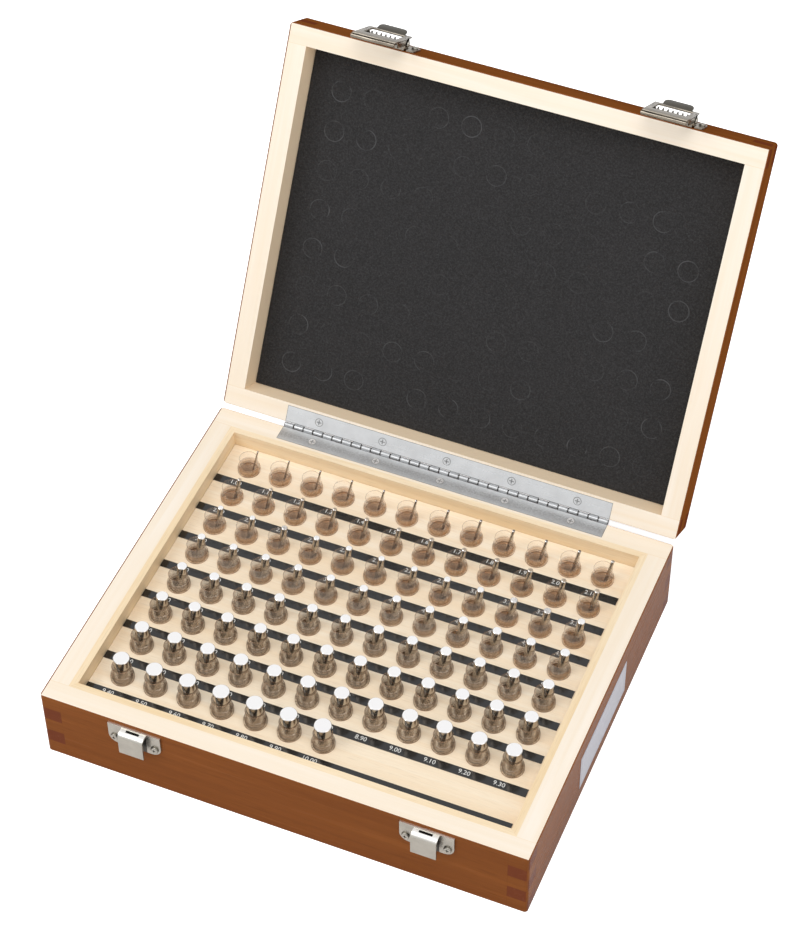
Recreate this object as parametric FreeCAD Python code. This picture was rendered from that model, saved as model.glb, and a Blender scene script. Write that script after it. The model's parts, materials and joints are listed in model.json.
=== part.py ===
"""Boxed set of 91 pin gauges: hinged wooden case, vial board, steel pins.

Millimetres. X runs left to right, Y front to back, Z up. The origin is the middle
of the case's underside. The lid is built closed and then swung open on its hinge.
"""
import math
import os

import FreeCAD
import Part

V = FreeCAD.Vector
X_AXIS, Y_AXIS, Z_AXIS = V(1, 0, 0), V(0, 1, 0), V(0, 0, 1)

# ---- pins, vials and their grid ----
pin_smallest = 1.0          # diameter of the first pin
pin_step = 0.1              # each pin is this much thicker than the one before
pin_count = 91
pin_length = 50.0
pin_chamfer = 0.25
lean_direction = 20.0       # degrees from +X towards +Y: the side all pins lean to
columns = 12
column_pitch = 20.6
row_pitch = 24.3
side_margin = 16.7          # outer column to the board's side edge
back_margin = 15.8          # back row to the board's back edge
front_margin = 20.1         # front row to the board's front edge

bore_clearance = 0.2        # thickest pin to its vial, per side
vial_wall = 0.45
vial_floor = 1.2
vial_rise = 10.4            # rim of a vial above the board
collar_step = 1.25          # how far the foot collar stands out from the tube
collar_edge = 1.2           # upright edge of the collar
collar_flare = 4.0          # height of the curve from the collar to the tube
vial_lift = 0.6             # vial floor above the bottom panel
hole_clearance = 0.2        # vial tube to its hole in the board, per side
touch_gap = 0.05            # left between a pin and the vial that it leans on

# ---- case ----
wall = 12.0
liner = 4.0
base_height = 50.0
lid_height = 21.5
bottom_panel = 5.0
top_panel = 3.0
panel_rebate = 5.0          # how far the panels are let in under the walls
base_fingers = 5            # finger joints up each base corner
lid_fingers = 3
corner_radius = 2.0
rim_gap = 0.4               # between the closed rims
lid_open_angle = 120.0
foam_thickness = 2.0
foam_side_gap = 0.3

# ---- board and strips ----
board_drop = 10.6           # board's top below the rim
board_thickness = 10.0
board_side_gap = 0.2
bearer_width = 9.0
strip_width = 5.4
strip_thickness = 1.2
strip_groove = 0.8
strip_setback = 0.85        # strip's middle in front of the midpoint of two rows
strip_short = 3.0           # strip stops this much short of the board's right edge

# ---- piano hinge ----
hinge_length = 209.0
leaf_width = 10.5           # from the case's back face
leaf_thickness = 0.9
knuckle_radius = 1.5
knuckle_count = 33
knuckle_gap = 0.3
knuckle_wood_gap = 0.3
hinge_pin_radius = 0.8
hinge_pin_fit = 0.04
hinge_screw_count = 5
hinge_screw_pitch = 41.6
hinge_screw_head = 5.2      # diameter

# ---- keepers on the base ----
latch_offset = 87.5         # latch middle from the case's middle
keeper_width = 32.0
keeper_height = 16.0
keeper_below_rim = 2.0
keeper_corner = 6.0
plate_metal = 1.2
hook_width = 15.0
hook_reach = 6.4            # flap's outer face from the case's front
hook_height = 16.0
hook_bend = 3.0
hook_drop = 0.8             # hook's top below the keeper plate's top
hook_slot = (8.0, 1.6)
hook_slot_gap = 0.4         # slot to the plate's face
keeper_screw_spread = 12.3
keeper_screw_drop = 10.8

# ---- latches on the lid ----
pivot_rise = 2.5            # pivot above the lid's rim
pivot_out = 4.1             # pivot in front of the case
pivot_radius = 1.0
pivot_fit = 0.08
pivot_head_radius = 1.8
pivot_head_height = 0.8
pivot_head_round = 0.5
pivot_head_gap = 0.25       # head to the hasp's cheek
bracket_low = 1.0
bracket_high = 14.0
bracket_metal = 1.0
bracket_corner = 2.0
bracket_end = 2.4           # screw's middle to the bracket's end
bracket_screw_gap = 2.85    # screw's middle to the hasp's side
bracket_screw_rise = 9.0
ear_radius = 2.3
ear_gap = 0.25              # bracket's ear to the hasp's cheek
ear_hold = 0.025            # ear's bore to the pivot
hasp_width = 26.5
hasp_metal = 1.0
hasp_gap = 0.3              # hasp to the keeper's flap when latched
hasp_top = 6.0              # plate's top edge above the pivot
hasp_swing = 28.0           # degrees
cheek_radius = 3.7
flange_depth = 3.4
flange_start = 5.0          # side flange above the curl's middle
curl_radius = 1.6
curl_bore = 0.6
tab_setback = 4.5           # tab's side to the hasp's side
tab_length = 7.0
tab_corner = 3.0
tab_flare = 25.0            # degrees
window_side = 3.15          # window to the hasp's side
window_height = 9.0
spring_wire = 0.5           # radius
spring_radius = 1.9         # to the middle of the wire
spring_full_turns = 6
spring_end_room = 1.5       # coil's end to the bracket's ear
spring_leg = 3.6            # straight end of the wire

# ---- small screws and the side label ----
screw_shank = 1.1           # radius
screw_length = 9.0
screw_fit = 0.05
pan_head_radius = 2.4
pan_head_height = 1.3
bracket_head_radius = 2.0
cross_width = 0.6
cross_depth = 0.6
label_length = 75.0
label_height = 27.0
label_thickness = 0.25
label_bottom = 10.0

# ---- sizes that follow from the ones above ----
rows = math.ceil(pin_count / columns)
board_width = (columns - 1) * column_pitch + 2 * side_margin
board_depth = (rows - 1) * row_pitch + back_margin + front_margin
inner_width = board_width + 2 * liner
inner_depth = board_depth + 2 * liner
case_width = inner_width + 2 * wall
case_depth = inner_depth + 2 * wall
front_y, back_y = -case_depth / 2, case_depth / 2
board_top = base_height - board_drop
pin_largest = pin_smallest + (pin_count - 1) * pin_step
bore_radius = pin_largest / 2 + bore_clearance
tube_radius = bore_radius + vial_wall
collar_radius = tube_radius + collar_step
hole_radius = tube_radius + hole_clearance
vial_bottom = bottom_panel + vial_lift
vial_rim = board_top + vial_rise
lid_rim = base_height + rim_gap
hinge_y = back_y + knuckle_radius + knuckle_wood_gap
hinge_z = base_height + rim_gap / 2
hinge_point = V(0, hinge_y, hinge_z)
knuckle_pitch = hinge_length / knuckle_count
strip_offset = row_pitch / 2 + strip_setback
pivot_y = front_y - pivot_out
pivot_z = lid_rim + pivot_rise
ear_inside = hasp_width / 2 - hasp_metal - ear_gap - bracket_metal
bracket_screw_spread = hasp_width / 2 + bracket_screw_gap
bracket_half = bracket_screw_spread + bracket_end
# The half turn puts the spring's legs on opposite sides of the pivot, and the
# part of a turn after it leans the hasp's leg out of the way of the swung hasp.
spring_turns = spring_full_turns + 0.5 + hasp_swing / 360
spring_length = 2 * (ear_inside - spring_end_room)
spring_pitch = spring_length / spring_turns
flap_bottom = base_height - keeper_below_rim - hook_drop - hook_height
hasp_inner = hook_reach + hasp_gap


# ---- helpers ----
def box(x0, x1, y0, y1, z0, z1):
    return Part.makeBox(x1 - x0, y1 - y0, z1 - z0, V(x0, y0, z0))


def rod(start, direction, radius, length):
    return Part.makeCylinder(radius, length, start, direction)


def fuse_all(shapes):
    first, rest = shapes[0], shapes[1:]
    return first.multiFuse(rest).removeSplitter() if rest else first


def cut_all(shape, tools):
    return shape.cut(tools) if tools else shape


def prism(points, direction):
    """Solid made by pushing a closed outline of points along a vector."""
    face = Part.Face(Part.makePolygon(points + [points[0]]))
    return face.extrude(direction)


def round_edges(shape, radius, wanted):
    edges = [edge for edge in shape.Edges if wanted(edge)]
    return shape.makeFillet(radius, edges) if edges and radius > 0 else shape


def runs_along(edge, axis):
    if not isinstance(edge.Curve, Part.Line):
        return False
    return abs(edge.Curve.Direction.dot(axis)) > 0.999


def move(shape, x, y, z):
    moved = shape.copy()
    moved.translate(V(x, y, z))
    return moved


def swing_open(shape):
    """Turn a piece of the closed lid about the hinge to where the lid stands."""
    opened = shape.copy()
    opened.rotate(hinge_point, X_AXIS, -lid_open_angle)
    return opened


def save(name, shapes):
    """Write one node: a single solid, or a group of separate like solids."""
    solids = shapes if isinstance(shapes, list) else [shapes]
    body = solids[0] if len(solids) == 1 else Part.makeCompound(solids)
    body.exportStep(f"parts/{name}.step")


# ---- screws: head centred on the origin's plane, pointing up, shank going down ----
def cross_recess(top):
    arm = 1.5 * cross_width
    wide = box(-arm, arm, -cross_width / 2, cross_width / 2, top - cross_depth, top + 1)
    tall = box(-cross_width / 2, cross_width / 2, -arm, arm, top - cross_depth, top + 1)
    return wide.fuse(tall)


def pan_screw(head_radius):
    head = rod(V(0, 0, 0), Z_AXIS, head_radius, pan_head_height)
    head = round_edges(head, pan_head_height * 0.6, lambda edge: edge.CenterOfMass.z > 0.1
                       and edge.Length > head_radius * 6)
    shank = rod(V(0, 0, -screw_length), Z_AXIS, screw_shank, screw_length)
    return head.fuse(shank).cut(cross_recess(pan_head_height)).removeSplitter()


def flat_screw():
    """Countersunk screw whose head ends flush at z = 0."""
    head = Part.makeCone(screw_shank, hinge_screw_head / 2, leaf_thickness, V(0, 0, -leaf_thickness))
    shank = rod(V(0, 0, -screw_length), Z_AXIS, screw_shank, screw_length - leaf_thickness)
    return head.fuse(shank).cut(cross_recess(0)).removeSplitter()


def flat_screw_hole():
    """Room for a countersunk screw, a little wider than the screw all round."""
    wide = hinge_screw_head / 2 + screw_fit
    head = Part.makeCone(screw_shank + screw_fit, wide, leaf_thickness, V(0, 0, -leaf_thickness))
    return head.fuse(rod(V(0, 0, -screw_length - screw_fit), Z_AXIS, screw_shank + screw_fit, screw_length))


def turned(shape, axis, angle):
    copy = shape.copy()
    copy.rotate(V(0, 0, 0), axis, angle)
    return copy


def facing_front(shape):
    """Turn an upright screw so that its head faces the front of the case."""
    return turned(shape, X_AXIS, 90)


# ---- the box carcass: four finger-jointed walls and a let-in panel ----
def corner_cells(z0, height, fingers, for_sides):
    """Blocks at the four corners that belong to the side walls, or to front and back."""
    cells = []
    step = height / fingers
    for level in range(fingers):
        if (level % 2 == 1) != for_sides:
            continue
        low = z0 + level * step
        for x0 in (-case_width / 2, case_width / 2 - wall):
            for y0 in (front_y, back_y - wall):
                cells.append(box(x0, x0 + wall, y0, y0 + wall, low, low + step))
    return cells


def carcass(z0, height, fingers, panel):
    """Front, back, left and right wall around the panel that is let into them."""
    outer = box(-case_width / 2, case_width / 2, front_y, back_y, z0, z0 + height)
    outer = round_edges(outer, corner_radius, lambda edge: runs_along(edge, Z_AXIS))
    hollow = box(-inner_width / 2, inner_width / 2, -inner_depth / 2, inner_depth / 2, z0, z0 + height)
    ring = outer.cut(hollow).cut(panel)
    side_cells = corner_cells(z0, height, fingers, True)
    end_cells = corner_cells(z0, height, fingers, False)
    walls = {}
    for name, y0 in (("front", front_y), ("back", back_y - wall)):
        slab = box(-case_width / 2, case_width / 2, y0, y0 + wall, z0, z0 + height)
        walls[name] = cut_all(ring.common(slab), side_cells)
    for name, x0 in (("left", -case_width / 2), ("right", case_width / 2 - wall)):
        slab = box(x0, x0 + wall, front_y, back_y, z0, z0 + height)
        walls[name] = cut_all(ring.common(slab), end_cells)
    return walls


def rebated_panel(z0, z1):
    half_x = inner_width / 2 + panel_rebate
    half_y = inner_depth / 2 + panel_rebate
    return box(-half_x, half_x, -half_y, half_y, z0, z1)


def liners():
    """Four thin boards inside the base, mitred where they meet."""
    ox, oy = inner_width / 2, inner_depth / 2
    ix, iy = ox - liner, oy - liner
    rise = V(0, 0, base_height - bottom_panel)
    outlines = {
        "front": [(-ox, -oy), (ox, -oy), (ix, -iy), (-ix, -iy)],
        "back": [(-ox, oy), (ox, oy), (ix, iy), (-ix, iy)],
        "left": [(-ox, -oy), (-ox, oy), (-ix, iy), (-ix, -iy)],
        "right": [(ox, -oy), (ox, oy), (ix, iy), (ix, -iy)],
    }
    made = {}
    for name, corners in outlines.items():
        made[name] = prism([V(x, y, bottom_panel) for x, y in corners], rise)
    return made


# ---- the board, its number strips, the vials and the pins ----
def column_x(column):
    return (column - (columns - 1) / 2) * column_pitch


def row_y(row):
    return board_depth / 2 - back_margin - row * row_pitch


def pins_in_row(row):
    return min(columns, pin_count - row * columns)


def strip_body(row, low, high, slack):
    middle = row_y(row) - strip_offset
    left = -board_width / 2 + board_side_gap
    right = board_width / 2 - strip_short
    half = strip_width / 2 + slack
    return box(left, right + slack, middle - half, middle + half, low, high)


def pin_board():
    half_x = board_width / 2 - board_side_gap
    half_y = board_depth / 2 - board_side_gap
    low = board_top - board_thickness
    board = box(-half_x, half_x, -half_y, half_y, low, board_top)
    tools = []
    for row in range(rows):
        tools.append(strip_body(row, board_top - strip_groove, board_top + 1, 0))
        for column in range(pins_in_row(row)):
            place = V(column_x(column), row_y(row), low - 1)
            tools.append(rod(place, Z_AXIS, hole_radius, board_thickness + 2))
    return board.cut(tools)


def number_strip(row):
    low = board_top - strip_groove
    return strip_body(row, low, low + strip_thickness, 0)


def vial():
    """Clear flat-bottomed tube with a flared collar that sits on the board."""
    floor = vial_bottom + vial_floor
    flare_foot = board_top + collar_edge
    flare_top = flare_foot + collar_flare
    shoulder = V(collar_radius - 0.25 * collar_step, 0, flare_foot + 0.6 * collar_flare)
    rim_round = vial_wall / 2
    edges = [
        Part.makePolygon([V(0, 0, vial_bottom), V(tube_radius, 0, vial_bottom),
                          V(tube_radius, 0, board_top), V(collar_radius, 0, board_top),
                          V(collar_radius, 0, flare_foot)]),
        Part.Arc(V(collar_radius, 0, flare_foot), shoulder, V(tube_radius, 0, flare_top)).toShape(),
        Part.makeLine(V(tube_radius, 0, flare_top), V(tube_radius, 0, vial_rim - rim_round)),
        Part.Arc(V(tube_radius, 0, vial_rim - rim_round), V(tube_radius - rim_round, 0, vial_rim),
                 V(bore_radius, 0, vial_rim - rim_round)).toShape(),
        Part.makePolygon([V(bore_radius, 0, vial_rim - rim_round), V(bore_radius, 0, floor),
                          V(0, 0, floor), V(0, 0, vial_bottom)]),
    ]
    outline = []
    for edge in edges:
        outline.extend(edge.Edges)
    return Part.Face(Part.Wire(outline)).revolve(V(0, 0, 0), Z_AXIS, 360)


def lean_angle(radius):
    """Tilt at which a pin stands in the foot of its vial and leans on the far rim."""
    reach = vial_rim - vial_bottom - vial_floor
    room = 2 * (bore_radius - touch_gap)

    def spare(angle):
        across = 2 * radius * math.cos(angle)
        climb = (reach - 2 * radius * math.sin(angle)) * math.tan(angle)
        return room - across - climb

    low, high = 0.0, math.atan(room / reach)
    for _ in range(60):
        middle = (low + high) / 2
        if spare(middle) > 0:
            low = middle
        else:
            high = middle
    return low


def gauge_pin(number):
    """One pin, leaning in a vial whose axis is the Z axis."""
    radius = (pin_smallest + number * pin_step) / 2
    chamfer = min(pin_chamfer, radius / 3)
    angle = lean_angle(radius)
    body = rod(V(0, 0, 0), Z_AXIS, radius, pin_length)
    rims = [edge for edge in body.Edges if isinstance(edge.Curve, Part.Circle)]
    body = body.makeChamfer(chamfer, rims)
    body.rotate(V(0, 0, 0), Y_AXIS, math.degrees(angle))
    foot_x = -bore_radius + touch_gap + radius * math.cos(angle)
    foot_z = vial_bottom + vial_floor + touch_gap + radius * math.sin(angle)
    body.translate(V(foot_x, 0, foot_z))
    body.rotate(V(0, 0, 0), Z_AXIS, lean_direction)
    return body


# ---- piano hinge: two leaves with interleaved knuckles on one pin ----
def hinge_leaf(side):
    """Leaf of the closed hinge. side is -1 for the base's leaf and 1 for the lid's."""
    flat = base_height if side < 0 else lid_rim
    z0, z1 = sorted((flat, flat + side * leaf_thickness))
    half = hinge_length / 2
    plate = box(-half, half, back_y - leaf_width, back_y, z0, z1)
    pieces = [plate]
    first = 0 if side < 0 else 1
    for index in range(first, knuckle_count, 2):
        left = -half + index * knuckle_pitch + knuckle_gap / 2
        right = left + knuckle_pitch - knuckle_gap
        pieces.append(box(left, right, back_y, hinge_y, z0, z1))
        pieces.append(rod(V(left, hinge_y, hinge_z), X_AXIS, knuckle_radius, right - left))
    leaf = fuse_all(pieces)
    bore = rod(V(-half - 1, hinge_y, hinge_z), X_AXIS, hinge_pin_radius + hinge_pin_fit, hinge_length + 2)
    holes = hinge_screw_places(side, flat_screw_hole())
    return leaf.cut([bore] + holes).removeSplitter()


def hinge_screw_places(side, shape):
    """Copies of an upright screw, or of its hole, along one closed leaf."""
    flat = base_height if side < 0 else lid_rim
    upright = shape if side < 0 else turned(shape, X_AXIS, 180)
    placed = []
    for index in range(hinge_screw_count):
        x = (index - (hinge_screw_count - 1) / 2) * hinge_screw_pitch
        placed.append(move(upright, x, back_y - leaf_width / 2, flat))
    return placed


def hinge_recess(side):
    flat = base_height if side < 0 else lid_rim
    z0, z1 = sorted((flat, flat + side * leaf_thickness))
    half = hinge_length / 2
    return box(-half, half, back_y - leaf_width, back_y + 1, z0, z1)


def hinge_pin():
    return rod(V(-hinge_length / 2, hinge_y, hinge_z), X_AXIS, hinge_pin_radius, hinge_length)


# ---- keeper: a plate with a tongue bent out and down into a hook ----
def keeper(middle):
    top = base_height - keeper_below_rim
    bottom = top - keeper_height
    half = keeper_width / 2
    plate = box(-half, half, front_y - plate_metal, front_y, bottom, top)
    plate = round_edges(plate, keeper_corner, lambda edge: runs_along(edge, Y_AXIS)
                        and edge.CenterOfMass.z < bottom + 1)
    hook_top = top - hook_drop
    far = front_y - hook_reach
    bar = box(-hook_width / 2, hook_width / 2, far, front_y, flap_bottom, hook_top)
    bar = round_edges(bar, hook_bend, lambda edge: runs_along(edge, X_AXIS)
                      and edge.CenterOfMass.z > hook_top - 0.1 and edge.CenterOfMass.y < far + 0.1)
    inside = box(-hook_width, hook_width, far + plate_metal, front_y, flap_bottom - 1, hook_top - plate_metal)
    inside = round_edges(inside, hook_bend - plate_metal, lambda edge: runs_along(edge, X_AXIS)
                         and edge.CenterOfMass.z > hook_top - plate_metal - 0.1
                         and edge.CenterOfMass.y < far + plate_metal + 0.1)
    slot_x, slot_y = hook_slot
    slot_y0 = front_y - plate_metal - hook_slot_gap - slot_y
    slot = box(-slot_x / 2, slot_x / 2, slot_y0, slot_y0 + slot_y, hook_top - 2 * plate_metal, hook_top + 1)
    hook = bar.cut(inside).cut(slot)
    solid = plate.fuse(hook)
    holes = keeper_screw_places(0, screw_clearance())
    return move(solid.cut(holes).removeSplitter(), middle, 0, 0)


def screw_clearance():
    return rod(V(0, 0, -screw_length - screw_fit), Z_AXIS, screw_shank + screw_fit, screw_length + 2)


def keeper_screw_places(middle, shape):
    z = base_height - keeper_below_rim - keeper_screw_drop
    y = front_y - plate_metal
    return [move(facing_front(shape), middle + side * keeper_screw_spread, y, z) for side in (-1, 1)]


# ---- latch on the lid, built closed: bracket, pivot, spring and swinging hasp ----
def latch_bracket():
    low, high = lid_rim + bracket_low, lid_rim + bracket_high
    half = bracket_half
    plate = box(-half, half, front_y - bracket_metal, front_y, low, high)
    plate = round_edges(plate, bracket_corner, lambda edge: runs_along(edge, Y_AXIS))
    pieces = [plate]
    for side in (-1, 1):
        x0 = ear_inside if side > 0 else -ear_inside - bracket_metal
        web = box(x0, x0 + bracket_metal, pivot_y, front_y, low, pivot_z + ear_radius)
        pieces.append(web)
        pieces.append(rod(V(x0, pivot_y, pivot_z), X_AXIS, ear_radius, bracket_metal))
    bore = rod(V(-half, pivot_y, pivot_z), X_AXIS, pivot_radius + ear_hold, 2 * half)
    holes = bracket_screw_places(0, screw_clearance())
    notches = []
    ear_outside = ear_inside + bracket_metal
    notch_top = pivot_z + cheek_radius + hasp_gap
    for side in (-1, 1):
        x0, x1 = sorted((side * ear_outside, side * (hasp_width / 2 + hasp_gap)))
        notches.append(box(x0, x1, front_y - bracket_metal, front_y, low, notch_top))
    return fuse_all(pieces).cut([bore] + notches + holes).removeSplitter()


def bracket_screw_places(middle, shape):
    z = lid_rim + bracket_screw_rise
    y = front_y - bracket_metal
    return [move(facing_front(shape), middle + side * bracket_screw_spread, y, z) for side in (-1, 1)]


def latch_pin():
    """Pivot with a low head outside each cheek of the hasp."""
    reach = hasp_width / 2 + pivot_head_gap
    shaft = rod(V(-reach, pivot_y, pivot_z), X_AXIS, pivot_radius, 2 * reach)
    heads = []
    for side in (-1, 1):
        head = rod(V(side * reach, pivot_y, pivot_z), X_AXIS * side, pivot_head_radius, pivot_head_height)
        heads.append(round_edges(head, pivot_head_round,
                                 lambda edge: abs(edge.CenterOfMass.x) > reach + pivot_head_round))
    return fuse_all([shaft] + heads)


def helix_point(turns):
    """Middle of the spring's wire after some turns, and the way the wire runs there."""
    angle = 2 * math.pi * turns
    across, along = spring_radius * math.cos(angle), spring_radius * math.sin(angle)
    place = V(across, along, turns * spring_pitch)
    return place, V(-along, across, spring_pitch / (2 * math.pi)).normalize()


def latch_spring():
    """Torsion spring round the pivot: one leg lies at the bracket, one at the hasp."""
    start, start_run = helix_point(0)
    end, end_run = helix_point(spring_turns)
    helix = Part.makeHelix(spring_pitch, spring_length, spring_radius)
    profile = Part.Wire(Part.makeCircle(spring_wire, start, start_run))
    coil = Part.Wire(helix.Edges).makePipeShell([profile], True, True)
    legs = [rod(start, start_run * -1, spring_wire, spring_leg), rod(end, end_run, spring_wire, spring_leg)]
    spring = coil.multiFuse(legs)
    spring.rotate(V(0, 0, 0), Y_AXIS, -90)
    spring.rotate(V(0, 0, 0), X_AXIS, -90)
    spring.translate(V(spring_length / 2, pivot_y, pivot_z))
    return spring


def hasp():
    """Stamped hasp: windowed plate, side flanges, curled hook edge and thumb tab."""
    inner_y = front_y - hasp_inner
    outer_y = inner_y - hasp_metal
    half = hasp_width / 2
    curl_z = flap_bottom - hasp_gap - curl_radius
    top = pivot_z + hasp_top
    plate = box(-half, half, outer_y, inner_y, curl_z, top)
    pieces = [plate]
    pieces.append(rod(V(-half, outer_y + curl_radius, curl_z), X_AXIS, curl_radius, hasp_width))
    for side in (-1, 1):
        x0 = half - hasp_metal if side > 0 else -half
        pieces.append(box(x0, x0 + hasp_metal, outer_y, inner_y + flange_depth,
                          curl_z + flange_start, pivot_z))
        pieces.append(box(x0, x0 + hasp_metal, outer_y, pivot_y, pivot_z - cheek_radius, top))
        pieces.append(rod(V(x0, pivot_y, pivot_z), X_AXIS, cheek_radius, hasp_metal))
    tab_half = half - tab_setback
    tab = box(-tab_half, tab_half, outer_y, inner_y, top - hasp_metal, top + tab_length)
    tab = round_edges(tab, tab_corner, lambda edge: runs_along(edge, Y_AXIS) and edge.CenterOfMass.z > top)
    tab.rotate(V(0, inner_y, top - hasp_metal), X_AXIS, tab_flare)
    pieces.append(tab)
    window_half = half - window_side
    window = box(-window_half, window_half, outer_y - 1, inner_y + 1,
                 pivot_z - window_height / 2, pivot_z + window_height / 2)
    bore = rod(V(-half - 1, pivot_y, pivot_z), X_AXIS, pivot_radius + pivot_fit, hasp_width + 2)
    roll = rod(V(-half - 1, outer_y + curl_radius, curl_z), X_AXIS, curl_bore, hasp_width + 2)
    return fuse_all(pieces).cut([window, bore, roll]).removeSplitter()


# ---- build and write every node ----
def build_base():
    panel = rebated_panel(0, bottom_panel)
    walls = carcass(0, base_height, base_fingers, panel)
    back_tools = [hinge_recess(-1)] + hinge_screw_places(-1, flat_screw_hole())
    walls["back"] = walls["back"].cut(back_tools)
    front_tools = []
    for side in (-1, 1):
        front_tools += keeper_screw_places(side * latch_offset, screw_clearance())
    walls["front"] = walls["front"].cut(front_tools)
    for name, shape in walls.items():
        save(f"base_{name}_wall", shape)
    save("base_bottom_panel", panel)
    for name, shape in liners().items():
        save(f"liner_{name}", shape)


def build_board():
    save("pin_board", pin_board())
    half = board_width / 2
    low, high = bottom_panel, board_top - board_thickness
    depth = board_depth / 2
    save("board_bearer_left", box(-half, -half + bearer_width, -depth, depth, low, high))
    save("board_bearer_right", box(half - bearer_width, half, -depth, depth, low, high))


def build_contents():
    one_vial = vial()
    for row in range(rows):
        save(f"size_strip_{row + 1}", number_strip(row))
        vials, pins = [], []
        for column in range(pins_in_row(row)):
            x, y = column_x(column), row_y(row)
            vials.append(move(one_vial, x, y, 0))
            pins.append(move(gauge_pin(row * columns + column), x, y, 0))
        save(f"vials_row_{row + 1}", vials)
        save(f"pins_row_{row + 1}", pins)


def build_hinge():
    save("hinge_base_leaf", hinge_leaf(-1))
    save("hinge_pin", hinge_pin())
    save("hinge_base_screws", hinge_screw_places(-1, flat_screw()))
    save("hinge_lid_leaf", swing_open(hinge_leaf(1)))
    save("hinge_lid_screws", [swing_open(screw) for screw in hinge_screw_places(1, flat_screw())])


def build_keepers():
    screws = []
    for name, side in (("left", -1), ("right", 1)):
        save(f"keeper_{name}", keeper(side * latch_offset))
        screws += keeper_screw_places(side * latch_offset, pan_screw(pan_head_radius))
    save("keeper_screws", screws)


def build_label():
    face = case_width / 2
    half = label_length / 2
    save("side_label", box(face, face + label_thickness, -half, half, label_bottom, label_bottom + label_height))


def build_lid():
    top = lid_rim + lid_height
    panel = rebated_panel(top - top_panel, top)
    walls = carcass(lid_rim, lid_height, lid_fingers, panel)
    walls["back"] = walls["back"].cut([hinge_recess(1)] + hinge_screw_places(1, flat_screw_hole()))
    front_tools = []
    for side in (-1, 1):
        front_tools += bracket_screw_places(side * latch_offset, screw_clearance())
    walls["front"] = walls["front"].cut(front_tools)
    for name, shape in walls.items():
        save(f"lid_{name}_wall", swing_open(shape))
    save("lid_top_panel", swing_open(panel))
    half_x = inner_width / 2 - foam_side_gap
    half_y = inner_depth / 2 - foam_side_gap
    foam_top = top - top_panel
    foam = box(-half_x, half_x, -half_y, half_y, foam_top - foam_thickness, foam_top)
    save("lid_foam", swing_open(foam))


def build_latches():
    screws, pins, springs = [], [], []
    for name, side in (("left", -1), ("right", 1)):
        middle = side * latch_offset
        save(f"latch_bracket_{name}", swing_open(move(latch_bracket(), middle, 0, 0)))
        save(f"hasp_{name}", swing_open(move(hasp(), middle, 0, 0)))
        pins.append(swing_open(move(latch_pin(), middle, 0, 0)))
        springs.append(swing_open(move(latch_spring(), middle, 0, 0)))
        screws += [swing_open(one) for one in bracket_screw_places(middle, pan_screw(bracket_head_radius))]
    save("latch_pins", pins)
    save("latch_springs", springs)
    save("latch_screws", screws)


os.makedirs("parts", exist_ok=True)
build_base()
build_board()
build_contents()
build_hinge()
build_keepers()
build_label()
build_lid()
build_latches()
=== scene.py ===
"""Looks of a boxed set of pin gauges: lacquered finger-jointed case, natural wood
inside, clear vials, ground steel pins, numbered strips, foam pad and nickel latches.
"""
import json
import math

import bpy
from bpy.props import FloatProperty, FloatVectorProperty, PointerProperty
from mathutils import Matrix, Vector


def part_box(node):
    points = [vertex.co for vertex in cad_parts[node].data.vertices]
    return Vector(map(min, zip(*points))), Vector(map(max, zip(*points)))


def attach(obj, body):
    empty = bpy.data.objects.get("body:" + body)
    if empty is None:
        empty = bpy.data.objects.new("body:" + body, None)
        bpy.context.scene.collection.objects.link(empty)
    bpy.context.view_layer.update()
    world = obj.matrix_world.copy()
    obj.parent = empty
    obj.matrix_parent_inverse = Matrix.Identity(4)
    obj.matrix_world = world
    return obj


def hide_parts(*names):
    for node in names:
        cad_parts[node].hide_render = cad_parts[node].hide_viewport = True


bl_info = {
    "name": "Pin gauge set finishes",
    "version": (1, 0, 0),
    "blender": (4, 5, 0),
    "location": "3D View > Sidebar > Gauge set",
    "description": "Finishes, numbers, foam pad and studio for a boxed set of pin gauges",
    "category": "Object",
}

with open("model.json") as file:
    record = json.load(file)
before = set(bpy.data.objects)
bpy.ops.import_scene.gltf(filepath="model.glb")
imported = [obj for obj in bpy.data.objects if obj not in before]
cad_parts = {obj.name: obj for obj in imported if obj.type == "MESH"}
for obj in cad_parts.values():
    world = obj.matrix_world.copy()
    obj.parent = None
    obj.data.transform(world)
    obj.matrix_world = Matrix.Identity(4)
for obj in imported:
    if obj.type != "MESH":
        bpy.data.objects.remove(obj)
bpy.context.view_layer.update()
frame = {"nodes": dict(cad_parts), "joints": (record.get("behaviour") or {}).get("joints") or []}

SIDES = ("front", "back", "left", "right")
ROWS = range(1, 9)
LID_JOINT = next(joint for joint in frame["joints"] if joint["name"] == "lid_hinge")
HINGE = Vector(LID_JOINT["pos_m"])
OPEN_ANGLE = math.radians(120.0)
HALF_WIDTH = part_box("base_right_wall")[1].x
HALF_DEPTH = -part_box("base_front_wall")[0].y
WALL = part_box("base_front_wall")[1].y + HALF_DEPTH


def srgb(red, green, blue):
    """Colour from 0 to 255 as a linear colour."""
    linear = []
    for value in (red, green, blue):
        part = value / 255
        linear.append(part / 12.92 if part <= 0.04045 else ((part + 0.055) / 1.055) ** 2.4)
    return tuple(linear)


def closing():
    """Matrix that takes a point of the open lid to its place with the lid shut."""
    turn = Matrix.Rotation(OPEN_ANGLE, 4, "X")
    return Matrix.Translation(HINGE) @ turn @ Matrix.Translation(-HINGE)


def shut_box(node):
    """Lowest and highest corner of a lid piece with the lid shut."""
    place = closing()
    points = [place @ vertex.co for vertex in frame["nodes"][node].data.vertices]
    low = Vector([min(point[i] for point in points) for i in range(3)])
    high = Vector([max(point[i] for point in points) for i in range(3)])
    return low, high


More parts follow.
